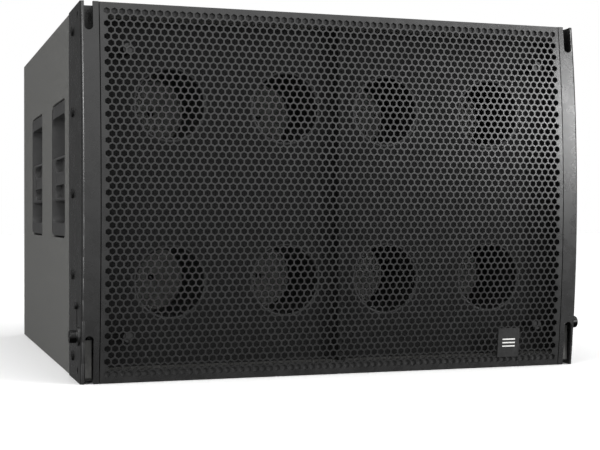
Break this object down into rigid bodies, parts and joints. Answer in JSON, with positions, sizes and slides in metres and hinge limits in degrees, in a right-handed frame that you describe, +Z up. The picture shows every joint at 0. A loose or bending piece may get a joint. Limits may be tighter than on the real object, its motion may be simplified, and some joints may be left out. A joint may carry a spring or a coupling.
{
  "type": "subwoofer cabinet",
  "caption": "Low-frequency loudspeaker cabinet with a bulging hexagon-hole steel grille, round ports behind it, steel corner rigging with drop-down link bars, and recessed side handles.",
  "frame": {"origin": "middle of the whole box on the floor plane", "axes": "+Z up, -Y out of the grille, +X to the right seen from the front"},
  "size_m": [0.75, 0.751, 0.497],
  "materials": {
    "textured_panel_paint": "black textured polyurea paint on plywood, matt",
    "black_board_paint": "matt black paint on plywood",
    "birch_plywood": "raw birch plywood",
    "black_port_tube": "matt black",
    "black_plastic": "fine moulded texture",
    "grille_coat": "black powder coat on perforated steel, satin",
    "badge_metal": "black anodised with pale bars",
    "rigging_coat": "black powder coat on steel, satin",
    "black_screws": "black zinc",
    "link_steel": "dark phosphated steel",
    "plunger_steel": "zinc plated",
    "knob_metal": "turned, dark nickel",
    "spring_steel": "bright",
    "handle_plastic": "moulded glass-filled nylon",
    "driver_frame_coat": "black coated casting",
    "cone_paper": "coated paper pulp",
    "surround_cloth": "treated cloth",
    "spider_cloth": "phenolic cloth",
    "coil_former": "wound former",
    "magnet_plating": "black epoxy",
    "gasket_rubber": "foam rubber"
  },
  "bodies": {
    "cabinet": {"badge": "badge_metal", "bottom_panel": "textured_panel_paint", "centre_rib": "black_board_paint", "connector_plate": "rigging_coat", "connector_sockets": "black_plastic", "driver_basket_left": "driver_frame_coat", "driver_basket_right": "driver_frame_coat", "driver_board_left": "birch_plywood", "driver_board_right": "birch_plywood", "driver_gaskets": "gasket_rubber", "driver_screws": "black_screws", "front_baffle": "black_board_paint", "grille": "grille_coat", "grille_catches": "black_plastic", "grip_bolts": "black_screws", "handle_cup_left_front": "handle_plastic", "handle_cup_left_rear": "handle_plastic", "handle_cup_right_front": "handle_plastic", "handle_cup_right_rear": "handle_plastic", "handle_grip_left_front": "handle_plastic", "handle_grip_left_rear": "handle_plastic", "handle_grip_right_front": "handle_plastic", "handle_grip_right_rear": "handle_plastic", "link_guides": "black_plastic", "magnet_left": "magnet_plating", "magnet_right": "magnet_plating", "panel_screws": "black_screws", "plate_screws": "black_screws", "plunger_bushes": "plunger_steel", "plunger_spring_left": "spring_steel", "plunger_spring_right": "spring_steel", "port_tubes_inner_left": "black_port_tube", "port_tubes_inner_right": "black_port_tube", "port_tubes_outer_left": "black_port_tube", "port_tubes_outer_right": "black_port_tube", "rear_brace": "birch_plywood", "rear_panel": "textured_panel_paint", "rigging_frame_left": "rigging_coat", "rigging_frame_right": "rigging_coat", "side_panel_left": "textured_panel_paint", "side_panel_right": "textured_panel_paint", "spider_left": "spider_cloth", "spider_right": "spider_cloth", "surround_left": "surround_cloth", "surround_right": "surround_cloth", "top_panel": "textured_panel_paint"},
    "link_left": {"link_bar_left": "link_steel", "thumb_stud_left": "black_screws"},
    "plunger_left": {"lock_pin_left": "plunger_steel", "lock_knob_left": "knob_metal"},
    "cone_left": {"driver_cone_left": "cone_paper", "dust_cap_left": "cone_paper", "voice_coil_left": "coil_former"},
    "link_right": {"link_bar_right": "link_steel", "thumb_stud_right": "black_screws"},
    "plunger_right": {"lock_pin_right": "plunger_steel", "lock_knob_right": "knob_metal"},
    "cone_right": {"driver_cone_right": "cone_paper", "dust_cap_right": "cone_paper", "voice_coil_right": "coil_former"}
  },
  "joints": [
    {"name": "link_slide_left", "type": "slide", "parent": "cabinet", "child": "link_left", "axis": [0, 0, -1], "range_m": [0, 0.03]},
    {"name": "plunger_pull_left", "type": "slide", "parent": "cabinet", "child": "plunger_left", "axis": [-1, 0, 0], "range_m": [0, 0.005], "stiffness_N_per_m": 1500, "springref_m": -0.003, "deforming": ["plunger_spring_left"]},
    {"name": "cone_travel_left", "type": "slide", "parent": "cabinet", "child": "cone_left", "axis": [-1, 0, 0], "range_m": [-0.008, 0.008], "stiffness_N_per_m": 8000, "deforming": ["surround_left", "spider_left"]},
    {"name": "link_slide_right", "type": "slide", "parent": "cabinet", "child": "link_right", "axis": [0, 0, -1], "range_m": [0, 0.03]},
    {"name": "plunger_pull_right", "type": "slide", "parent": "cabinet", "child": "plunger_right", "axis": [1, 0, 0], "range_m": [0, 0.005], "stiffness_N_per_m": 1500, "springref_m": -0.003, "deforming": ["plunger_spring_right"]},
    {"name": "cone_travel_right", "type": "slide", "parent": "cabinet", "child": "cone_right", "axis": [1, 0, 0], "range_m": [-0.008, 0.008], "stiffness_N_per_m": 8000, "deforming": ["surround_right", "spider_right"]}
  ]
}
